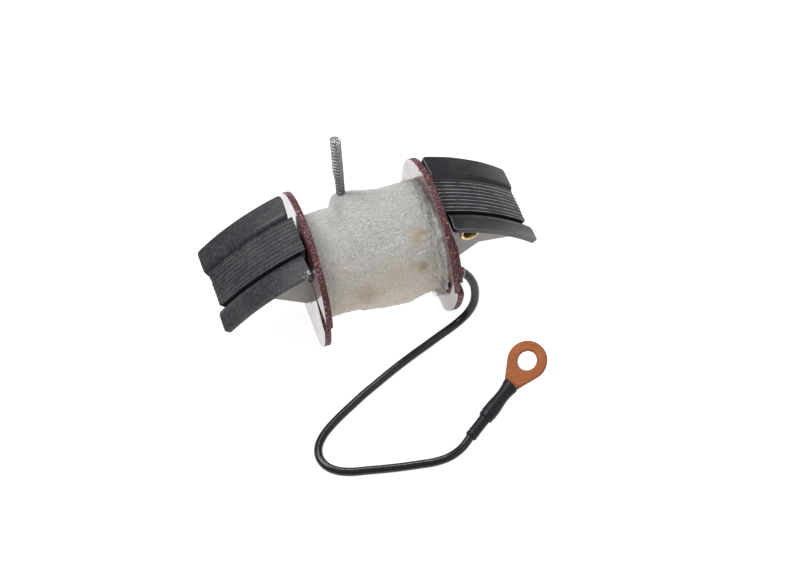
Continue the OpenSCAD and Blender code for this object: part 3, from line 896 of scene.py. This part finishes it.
# ---------------------------------------------------------------- materials
class Paint:
    """One procedural material while it is being put together."""

    def __init__(self, name, **constants):
        self.material = bpy.data.materials.new(name)
        self.material.use_nodes = True
        self.nodes = self.material.node_tree.nodes
        self.links = self.material.node_tree.links
        self.shader = self.nodes["Principled BSDF"]
        self.place = self.node("ShaderNodeTexCoord").outputs["Object"]
        for key, value in constants.items():
            self.shader.inputs[key.replace("_", " ")].default_value = value

    def node(self, kind, inputs=(), **settings):
        added = self.nodes.new(kind)
        for key, value in settings.items():
            setattr(added, key, value)
        for key, value in dict(inputs).items():
            self.feed(added.inputs[key], value)
        return added

    def feed(self, socket, value):
        if isinstance(value, bpy.types.NodeSocket):
            self.links.new(value, socket)
        else:
            socket.default_value = value

    def set(self, **values):
        for key, value in values.items():
            self.feed(self.shader.inputs[key.replace("_", " ")], value)

    def math(self, operation, a, b=0.0):
        return self.node("ShaderNodeMath", {0: a, 1: b}, operation=operation).outputs[0]

    def done(self, colour, roughness, normal):
        self.set(Base_Color=colour, Roughness=roughness, Normal=normal)
        return self.material

    def times(self, a, b):
        return self.math("MULTIPLY", a, b)

    def stretch(self, factors, place=None):
        return self.node("ShaderNodeVectorMath", {0: place or self.place, 1: factors},
                         operation="MULTIPLY").outputs[0]

    def shifted(self, offset):
        return self.node("ShaderNodeVectorMath", {0: self.place, 1: offset}, operation="ADD").outputs[0]

    def noise(self, size_mm, detail=3.0, roughness=0.55, place=None, distortion=0.0):
        return self.node("ShaderNodeTexNoise", {
            "Vector": place or self.place, "Scale": 1000.0 / size_mm, "Detail": detail,
            "Roughness": roughness, "Distortion": distortion}).outputs["Fac"]

    def cells(self, size_mm, place=None, feature="F1"):
        return self.node("ShaderNodeTexVoronoi", {
            "Vector": place or self.place, "Scale": 1000.0 / size_mm}, feature=feature).outputs["Distance"]

    def span(self, value, low, high, to_low=0.0, to_high=1.0):
        return self.node("ShaderNodeMapRange", {
            "Value": value, "From Min": low, "From Max": high, "To Min": to_low, "To Max": to_high,
        }).outputs["Result"]

    def vary(self, value, to_low=0.0, to_high=1.0):
        """Noise, spread from the range that it mostly stays in."""
        return self.span(value, 0.3, 0.7, to_low, to_high)

    def mix(self, factor, first, second, kind="MIX"):
        added = self.node("ShaderNodeMix", data_type="RGBA", blend_type=kind)
        self.feed(added.inputs[0], factor)
        self.feed(added.inputs[6], first)
        self.feed(added.inputs[7], second)
        return added.outputs[2]

    def over(self, colour, mask, strength, tone):
        """The colour with a tone laid over it where the mask is high."""
        return self.mix(self.times(mask, strength), colour, tone)

    def bump(self, height, depth_mm, strength=1.0, normal=None):
        inputs = {"Height": height, "Distance": depth_mm * MM, "Strength": strength}
        if normal:
            inputs["Normal"] = normal
        return self.node("ShaderNodeBump", inputs).outputs["Normal"]

    def distance(self, place_mm):
        return self.node("ShaderNodeVectorMath", {0: self.place, 1: Vector(place_mm) * MM},
                         operation="DISTANCE").outputs["Value"]

    def axes(self):
        return self.node("ShaderNodeSeparateXYZ", {0: self.place}).outputs

    def wear(self):
        return self.node("ShaderNodeAttribute", attribute_name="wear").outputs["Fac"]

    def arc_radius(self):
        """Distance from the axis of the pole arc."""
        offset = self.stretch((1, 0, 1), self.shifted((0, 0, -ARC_Z * MM)))
        return self.node("ShaderNodeVectorMath", {0: offset}, operation="LENGTH").outputs["Value"]


def rgb(red, green, blue):
    return red, green, blue, 1.0


def darker(base, factor):
    return rgb(*[factor * part for part in base])


# Painted glint at the front left wing's inner corner, in millimetres
GLINT_PLACE = (-16.0, -11.4, 26.2)


def pole_paint(name, wing):
    """Dark lacquer on the pole faces, rubbed thin, with bright edges: steel rubbed through, and painted
    highlight. Cheeks are unlacquered below, lighter also as painted reflection of the white floor.
    """
    paint = Paint(name, Specular_IOR_Level=0.3 if wing else 0.2)
    axes = paint.axes()
    broad = paint.noise(9, 4)
    colour = paint.mix(paint.span(broad, 0.35, 0.7), rgb(0.013, 0.013, 0.017), rgb(0.028, 0.027, 0.033))
    rubbed = paint.span(paint.noise(5.5, 5, place=paint.stretch((0.8, 1, 0.8))), 0.52, 0.75)
    colour = paint.over(colour, rubbed, 0.5, rgb(0.07, 0.058, 0.052))
    left = paint.span(axes["X"], 0.0, -0.02)
    specks = paint.span(paint.noise(0.32, 2, 0.7), 0.65, 0.72)
    specks = paint.times(specks, paint.span(left, 0, 1, 0.1, 0.75))
    colour = paint.mix(specks, colour, rgb(0.34, 0.33, 0.33))
    # Lighter lilac-grey patches on the left half: dust, and painted reflection
    dust_and_reflection = paint.times(left, paint.span(paint.noise(0.9, 5, 0.75), 0.4, 0.75))
    colour = paint.over(colour, dust_and_reflection, 0.4, rgb(0.12, 0.112, 0.135))
    # Bright edges on the rounded rims: steel rubbed through the lacquer, and painted highlight, stronger on
    # the right half
    patchy = paint.span(paint.noise(2.2, 4), 0.25, 0.5)
    wear_and_highlight = paint.times(paint.span(paint.wear(), 0.42, 0.74), patchy)
    wear_and_highlight = paint.times(wear_and_highlight, paint.span(left, 0, 1, 0.8, 0.26))
    if wing:
        wear_and_highlight = paint.times(wear_and_highlight, 0.35)
    colour = paint.mix(wear_and_highlight, colour, rgb(0.62, 0.62, 0.65))
    roughness = paint.vary(broad, 0.34, 0.5)
    metallic = paint.times(wear_and_highlight, 0.5)
    if wing:
        # Painted glint: a pale spot on the front left wing's inner corner
        corner = paint.distance(GLINT_PLACE)
        glint = paint.times(paint.span(corner, 0.0022, 0.0008),
                           paint.span(paint.noise(0.5, 3), 0.5, 0.6))
        colour = paint.mix(glint, colour, rgb(0.7, 0.7, 0.7))
        # Painted highlight: lighter grey towards the front right wing's tip and lower edge, where its
        # rounded edge catches the light
        painted_tip_highlight = paint.times(paint.span(axes["X"], 0.016, 0.034),
                                paint.span(axes["Y"], -0.0066, -0.0098))
        colour = paint.over(colour, painted_tip_highlight, 0.7, rgb(0.17, 0.175, 0.185))
        radius = paint.arc_radius()
        # Lighter grey-beige lower cheek face: unlacquered steel, and painted reflection of the white floor
        bare_face_and_reflection = paint.span(radius, 0.0474, 0.0466)
        face_tone_and_reflection = paint.mix(paint.noise(2.5, 4), rgb(0.27, 0.25, 0.235), rgb(0.38, 0.36, 0.34))
        colour = paint.mix(bare_face_and_reflection, colour, face_tone_and_reflection)
        roughness = paint.span(bare_face_and_reflection, 0, 1, 0.36, 0.5)
        metallic = paint.math("MAXIMUM", metallic, paint.times(bare_face_and_reflection, 0.5))
    paint.set(Base_Color=colour, Roughness=roughness, Metallic=metallic)
    grit = paint.bump(paint.noise(0.25, 3, 0.7), 0.03, 0.5)
    paint.set(Normal=paint.bump(rubbed, -0.02, 0.5, grit))
    return paint.material


def brass_paint(name, base, roughness):
    paint = Paint(name, Metallic=1.0)
    tone = paint.mix(paint.span(paint.noise(1.2, 4), 0.35, 0.7), rgb(*base), darker(base, 0.55))
    uneven = paint.vary(paint.noise(0.6, 3), roughness, roughness + 0.18)
    return paint.done(tone, uneven, paint.bump(paint.noise(0.3, 2), 0.01, 0.5))


def fibre_face_paint():
    """Polished vulcanised fibre: deep oxblood under a clear gloss."""
    paint = Paint("fibre_face", Coat_Weight=1.0, Coat_Roughness=0.08, Coat_IOR=1.8, IOR=1.5)
    cloudy = paint.noise(3.5, 5)
    colour = paint.mix(paint.vary(cloudy), rgb(0.085, 0.018, 0.024), rgb(0.15, 0.04, 0.045))
    flecks = paint.span(paint.noise(0.5, 3, place=paint.stretch((1, 1, 0.4))), 0.62, 0.72)
    colour = paint.over(colour, flecks, 0.5, rgb(0.26, 0.1, 0.1))
    return paint.done(colour, paint.vary(cloudy, 0.18, 0.3), paint.bump(paint.noise(2.0, 3), 0.006, 0.4))


def fibre_rim_paint():
    """Sawn edge of the fibre: torn layers, dark red-brown with pale pink specks."""
    paint = Paint("fibre_rim")
    torn = paint.noise(0.7, 5, 0.7, place=paint.stretch((1.6, 1, 1)))
    colour = paint.mix(paint.span(torn, 0.35, 0.65), rgb(0.026, 0.004, 0.006), rgb(0.115, 0.020, 0.024))
    specks = paint.span(paint.noise(0.42, 4, 0.75), 0.55, 0.63)
    colour = paint.over(colour, specks, 0.85, rgb(0.60, 0.34, 0.37))
    deep = paint.bump(torn, 0.16, 0.9)
    shallow = paint.bump(paint.noise(0.25, 3, 0.7), 0.05, 0.8, deep)
    return paint.done(colour, paint.vary(torn, 0.45, 0.75), shallow)


# Stains in the gauze: middle and reach in millimetres, strength and colour
STAINS = (
    ((8.8, -7.2, 23.2), 2.6, 0.75, (0.46, 0.35, 0.20)),
    ((10.2, -6.6, 23.4), 1.2, 0.8, (0.34, 0.24, 0.13)),
    ((8.2, -11.2, 18.2), 2.0, 0.8, (0.32, 0.22, 0.11)),
    ((6.2, -11.0, 19.0), 2.4, 0.5, (0.52, 0.40, 0.24)),
    ((3.0, -11.4, 18.0), 5.5, 0.55, (0.52, 0.44, 0.33)),
    ((-4.0, -11.6, 14.5), 4.2, 0.7, (0.42, 0.32, 0.20)),
    ((-9.0, -10.8, 12.0), 3.0, 0.5, (0.62, 0.44, 0.28)),
    ((-8.0, -8.4, 20.6), 3.0, 0.45, (0.66, 0.48, 0.46)),
    ((11.6, 3.0, 25.0), 1.6, 0.75, (0.33, 0.26, 0.20)),
)
# Ragged outskirts of a stain, distance between threads, and the radius that the weave is laid at
STAIN_RAGGED = 3.0
THREAD_PITCH = 0.46
WRAP_R = 11.8


def gauze_paint(name, fuzz=False):
    """Varnished cotton gauze: a plain weave laid round the winding, with ochre and pink stains.

    It is greyer towards the top as painted shade against the overhead lamp, warmer below, and grey where it
    is torn at the right flange, partly painted shade in the step down to the layer below.
    """
    paint = Paint(name, Sheen_Weight=0.25, Sheen_Roughness=0.6, Specular_IOR_Level=0.35)
    axes = paint.axes()
    up = paint.math("SUBTRACT", axes["Z"], AXIS_Z * MM)
    round_it = paint.times(paint.math("ARCTAN2", up, axes["Y"]), WRAP_R * MM)
    pitch = math.pi / (THREAD_PITCH * MM)

    def wandering(along, coarse, reach_mm):
        """Phase of a set of threads that wanders by up to half the reach to each side."""
        drift = paint.times(paint.math("SUBTRACT", coarse, 0.5), reach_mm * MM)
        return paint.times(paint.math("ADD", along, drift), pitch)

    warp = wandering(axes["X"], paint.noise(5, 3), 1.6)
    weft = wandering(round_it, paint.noise(3.5, 3, place=paint.shifted((0.05, 0, 0))), 1.4)
    warp_thread = paint.math("ABSOLUTE", paint.math("SINE", warp))
    weft_thread = paint.math("ABSOLUTE", paint.math("SINE", weft))
    over = paint.times(paint.math("COSINE", warp), paint.math("COSINE", weft))
    warp_high = paint.times(warp_thread, paint.span(over, -1, 1, 0.55, 1.0))
    weft_high = paint.times(weft_thread, paint.span(over, -1, 1, 1.0, 0.55))
    weave = paint.math("MAXIMUM", warp_high, weft_high)
    uneven = paint.noise(0.8, 4, 0.65)
    tone = paint.mix(paint.span(weave, 0.45, 1.0), rgb(0.58, 0.58, 0.56), rgb(0.78, 0.78, 0.76))
    tone = paint.mix(paint.span(uneven, 0.35, 0.7, 0.0, 0.5), tone, rgb(0.88, 0.88, 0.865))
    lint = paint.noise(0.34, 3, 0.75)
    tone = paint.mix(paint.span(lint, 0.38, 0.62, 0.0, 0.75), tone, rgb(0.42, 0.41, 0.39), "MULTIPLY")
    clouds = paint.span(paint.noise(6, 4, 0.6), 0.45, 0.75)
    tone = paint.over(tone, clouds, 0.4, rgb(0.53, 0.53, 0.52))
    # Painted shade: darker towards the top, to tone down the top lit by the overhead lamp
    painted_top_shade = paint.mix(paint.span(axes["Z"], 0.016, 0.026), rgb(1, 1, 1), rgb(0.78, 0.78, 0.78))
    tone = paint.mix(1.0, tone, painted_top_shade, "MULTIPLY")
    low = paint.span(axes["Z"], 0.024, 0.010)
    tone = paint.over(tone, low, 0.6, rgb(0.68, 0.56, 0.43))
    for place, reach, strength, stain in STAINS:
        ragged = paint.times(paint.noise(2.4, 5, 0.65), 2 * STAIN_RAGGED * MM)
        distance = paint.math("ADD", paint.distance(place), ragged)
        spot = paint.span(distance, (reach + STAIN_RAGGED) * MM, STAIN_RAGGED * MM)
        tone = paint.over(tone, spot, strength, rgb(*stain))
    # Grey where torn: the inner layer's own grey, and painted shade in the step down to it
    torn = paint.span(axes["X"], (WINDING_X - 1.3) * MM, (WINDING_X - 0.4) * MM)
    tone = paint.over(tone, torn, 0.55, rgb(0.46, 0.45, 0.43))
    if fuzz:
        paint.set(Base_Color=paint.mix(0.5, tone, rgb(0.62, 0.62, 0.61)), Roughness=0.9)
        return paint.material
    paint.set(Base_Color=tone, Roughness=paint.vary(uneven, 0.62, 0.85))
    threads = paint.bump(weave, 0.08, 0.7)
    lumps = paint.bump(uneven, 0.12, 0.8, threads)
    paint.set(Normal=paint.bump(paint.noise(0.22, 3, 0.7), 0.05, 0.7, lumps))
    return paint.material


def winding_paint(name, base, pitch_mm, gloss):
    """Fine turns side by side along X, each slightly different."""
    paint = Paint(name, Coat_Weight=gloss, Coat_Roughness=0.2)
    phase = paint.times(paint.axes()["X"], math.pi / (pitch_mm * MM))
    turns = paint.math("ABSOLUTE", paint.math("SINE", phase))
    streaks = paint.noise(0.8, 3, place=paint.stretch((4, 0.3, 0.3)))
    colour = paint.mix(streaks, rgb(*base), darker(base, 0.6))
    # Darker between the turns: painted shade in the grooves between neighbouring wires
    colour = paint.mix(paint.span(turns, 0.0, 0.4), darker(base, 0.3), colour)
    return paint.done(colour, paint.span(turns, 0, 1, 0.5, 0.3), paint.bump(turns, 0.06, 0.8))


def paper_paint(name, base):
    paint = Paint(name)
    fibres = paint.noise(0.5, 5, 0.7, place=paint.stretch((0.4, 1, 1)))
    colour = paint.mix(paint.vary(fibres), rgb(*base), darker(base, 0.72))
    return paint.done(colour, paint.vary(fibres, 0.55, 0.8), paint.bump(fibres, 0.04, 0.7))


def spring_paint():
    """Drawn steel wire, dull and dark towards the foot."""
    paint = Paint("spring_wire", Metallic=1.0)
    axes = paint.axes()
    drawn = paint.noise(0.3, 4, 0.6)
    colour = paint.mix(paint.vary(drawn), rgb(0.30, 0.30, 0.31), rgb(0.52, 0.52, 0.53))
    foot = paint.span(axes["Z"], 0.031, 0.025)
    colour = paint.over(colour, foot, 0.6, rgb(0.06, 0.06, 0.06))
    return paint.done(colour, paint.vary(drawn, 0.3, 0.5), paint.bump(drawn, 0.01, 0.5))


def lead_paint():
    """Shiny black jacket with a few scuffs and dust specks."""
    paint = Paint("lead_jacket_black", Specular_IOR_Level=0.45)
    scuffs = paint.span(paint.noise(1.5, 5, 0.7), 0.6, 0.75)
    colour = paint.mix(paint.times(scuffs, 0.5), rgb(0.004, 0.004, 0.008), rgb(0.013, 0.013, 0.021))
    dust = paint.span(paint.noise(0.28, 2, 0.8), 0.73, 0.78)
    colour = paint.over(colour, dust, 0.3, rgb(0.2, 0.2, 0.2))
    roughness = paint.span(scuffs, 0, 1, 0.23, 0.34)
    return paint.done(colour, roughness, paint.bump(paint.noise(1.0, 4), 0.006, 0.6))


def sleeve_paint():
    """Satin blue-black shrink sleeve with fine stretch marks along it."""
    paint = Paint("shrink_sleeve_satin", Specular_IOR_Level=0.28)
    marks = paint.noise(0.5, 4, 0.65)
    colour = paint.mix(paint.vary(marks), rgb(0.004, 0.004, 0.007), rgb(0.011, 0.012, 0.020))
    return paint.done(colour, paint.vary(marks, 0.34, 0.5), paint.bump(paint.noise(0.9, 4, 0.6), 0.05, 0.8))


def copper_paint():
    """Matt copper sheet with rolling marks, slightly darker at its edges."""
    paint = Paint("copper_matt", Metallic=0.35, Specular_IOR_Level=0.15)
    rolled = paint.noise(0.7, 4, 0.6, place=paint.stretch((0.3, 1.6, 1)))
    colour = paint.mix(paint.vary(rolled), rgb(0.345, 0.115, 0.043), rgb(0.29, 0.09, 0.033))
    patina = paint.span(paint.noise(2.6, 4), 0.5, 0.75)
    colour = paint.over(colour, patina, 0.35, rgb(0.26, 0.088, 0.038))
    colour = paint.mix(paint.times(paint.wear(), 0.6), colour, rgb(0.16, 0.085, 0.055))
    return paint.done(colour, paint.vary(rolled, 0.5, 0.62), paint.bump(rolled, 0.012, 0.6))


def solder_paint():
    paint = Paint("solder_bright", Metallic=1.0)
    grain = paint.cells(0.3)
    colour = paint.mix(paint.span(grain, 0.0, 0.6), rgb(0.75, 0.74, 0.71), rgb(0.5, 0.5, 0.48))
    return paint.done(colour, paint.span(grain, 0, 0.6, 0.22, 0.4), paint.bump(grain, 0.03, 0.6))


def varnish_paint():
    """Hardened drop of tinted varnish."""
    paint = Paint("varnish_mauve", Coat_Weight=0.6, Coat_Roughness=0.1, Subsurface_Weight=0.3,
                  Subsurface_Scale=0.0008)
    streaks = paint.noise(0.9, 4, 0.6)
    colour = paint.mix(paint.span(streaks, 0.35, 0.65), rgb(0.26, 0.15, 0.17), rgb(0.12, 0.05, 0.06))
    return paint.done(colour, paint.vary(streaks, 0.25, 0.4), paint.bump(streaks, 0.03, 0.6))


def wear_material(target, *materials):
    """Puts the materials on a piece or a CAD node, in place of any it came with."""
    slots = target.data.materials
    for index, material in enumerate(materials):
        if index < len(slots):
            slots[index] = material
        else:
            slots.append(material)


# ---------------------------------------------------------------- build
lead, lead_path = add_lead()
sleeve_small, sleeve_large, crimp_core = add_sleeves()
ring = add_ring()
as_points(lead_path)
core_sheets = add_laminations()
cheeks = add_cheeks()
eyelets = add_eyelets()
flanges = add_flanges()
clamp_plate = add_clamp_plate()
gauze = add_tape()


fuzz = [add_fibres("fuzz_all", 4200, anywhere, 0.5, 0.032),
        add_fibres("frayed_right", 2400, at_right, 1.2, 0.05),
        add_fibres("frayed_left", 700, at_left, 0.7, 0.03)]
spring, spring_end = add_spring()
button = add_button()
solder, earth_end = add_earth()
varnish_drop = add_bushing()

sheet_steel = pole_paint("lamination_edges", wing=False)
cheek_steel = pole_paint("cheek_sheet", wing=True)
fibre_face = fibre_face_paint()
fibre_rim = fibre_rim_paint()
gauze_cloth = gauze_paint("gauze_cloth")
gauze_fuzz = gauze_paint("gauze_fuzz", fuzz=True)
copper = copper_paint()
shrink = sleeve_paint()
spring_wire = spring_paint()
eyelet_golden = brass_paint("eyelet_golden", (0.92, 0.72, 0.36), 0.22)
nodes = frame["nodes"]
# Faces and rims have a material each, where two are given
worn_materials = [
    (core_sheets, sheet_steel, sheet_steel),
    (cheeks, cheek_steel, cheek_steel),
    (eyelets, eyelet_golden),
    ([*flanges, clamp_plate], fibre_face, fibre_rim),
    ([gauze], gauze_cloth),
    (fuzz, gauze_fuzz),
    ([spring, spring_end], spring_wire),
    ([button], brass_paint("button_brass", (0.6, 0.42, 0.18), 0.35)),
    ([solder], solder_paint()),
    ([earth_end], winding_paint("earth_wire_enamel", (0.16, 0.07, 0.05), 1.5, 0.3)),
    ([varnish_drop], varnish_paint()),
    ([lead], lead_paint()),
    ([sleeve_small, sleeve_large], shrink),
    ([crimp_core], copper),
    ([ring], copper, copper),
    ([nodes["core_sleeve"]], paper_paint("pressboard", (0.42, 0.31, 0.18))),
    ([nodes["primary_paper"]], paper_paint("primary_paper_oiled", (0.55, 0.45, 0.25))),
    ([nodes["secondary_paper"]], paper_paint("secondary_paper_oiled", (0.5, 0.42, 0.22))),
    ([nodes["primary_winding"]], winding_paint("primary_copper", (0.5, 0.2, 0.08), 0.6, 0.5)),
    ([nodes["secondary_winding"]], winding_paint("secondary_copper", (0.42, 0.15, 0.06), 0.2, 0.5)),
]
for pieces, *materials in worn_materials:
    for piece in pieces:
        wear_material(piece, *materials)


# ---------------------------------------------------------------- studio
FLOOR_R = 1.6


def add_floor():
    mesh = bpy.data.meshes.new("floor")
    rim = arc((0, 0), FLOOR_R, 0, 2 * math.pi, 96)[:-1]
    mesh.from_pydata([(x, y, 0) for x, y in rim], [], [tuple(range(len(rim)))])
    floor = bpy.data.objects.new("floor", mesh)
    bpy.context.collection.objects.link(floor)
    paint = Paint("floor_white", Roughness=0.9, Specular_IOR_Level=0.1, Emission_Strength=0.92)
    pale = paint.mix(paint.noise(80, 2), rgb(0.28, 0.28, 0.28), rgb(0.32, 0.32, 0.32))
    paint.set(Base_Color=pale, Emission_Color=rgb(1, 1, 1))
    mesh.materials.append(paint.material)


def add_light(name, place, size, power):
    light_data = bpy.data.lights.new(name, "AREA")
    light_data.shape = "DISK"
    light_data.size = size
    light_data.energy = power
    light = bpy.data.objects.new(name, light_data)
    bpy.context.collection.objects.link(light)
    light.location = place
    light.rotation_euler = (-Vector(place)).to_track_quat("-Z", "Y").to_euler()


def add_studio():
    """White floor and a world that is dim at the horizon, so that the dark poles stay dark."""
    add_floor()
    world = bpy.data.worlds.new("studio")
    bpy.context.scene.world = world
    world.use_nodes = True
    backdrop = world.node_tree.nodes["Background"]
    backdrop.inputs["Color"].default_value = rgb(1.0, 1.0, 1.0)
    nodes = world.node_tree.nodes
    links = world.node_tree.links
    direction = nodes.new("ShaderNodeSeparateXYZ")
    links.new(nodes.new("ShaderNodeTexCoord").outputs["Generated"], direction.inputs[0])
    height = nodes.new("ShaderNodeMapRange")
    dim_to_bright = {"From Min": 0.0, "From Max": 0.7, "To Min": 0.12, "To Max": 0.55}
    for key, value in dim_to_bright.items():
        height.inputs[key].default_value = value
    links.new(direction.outputs["Z"], height.inputs["Value"])
    links.new(height.outputs["Result"], backdrop.inputs["Strength"])
    add_light("key", (-0.35, 0.25, 0.75), 0.45, 4.4)
    add_light("fill", (0.5, -0.5, 0.5), 0.6, 0.8)
    add_light("back", (0.17, 0.50, 0.75), 0.16, 1.5)
    bpy.context.scene.view_settings.view_transform = "Standard"


add_studio()
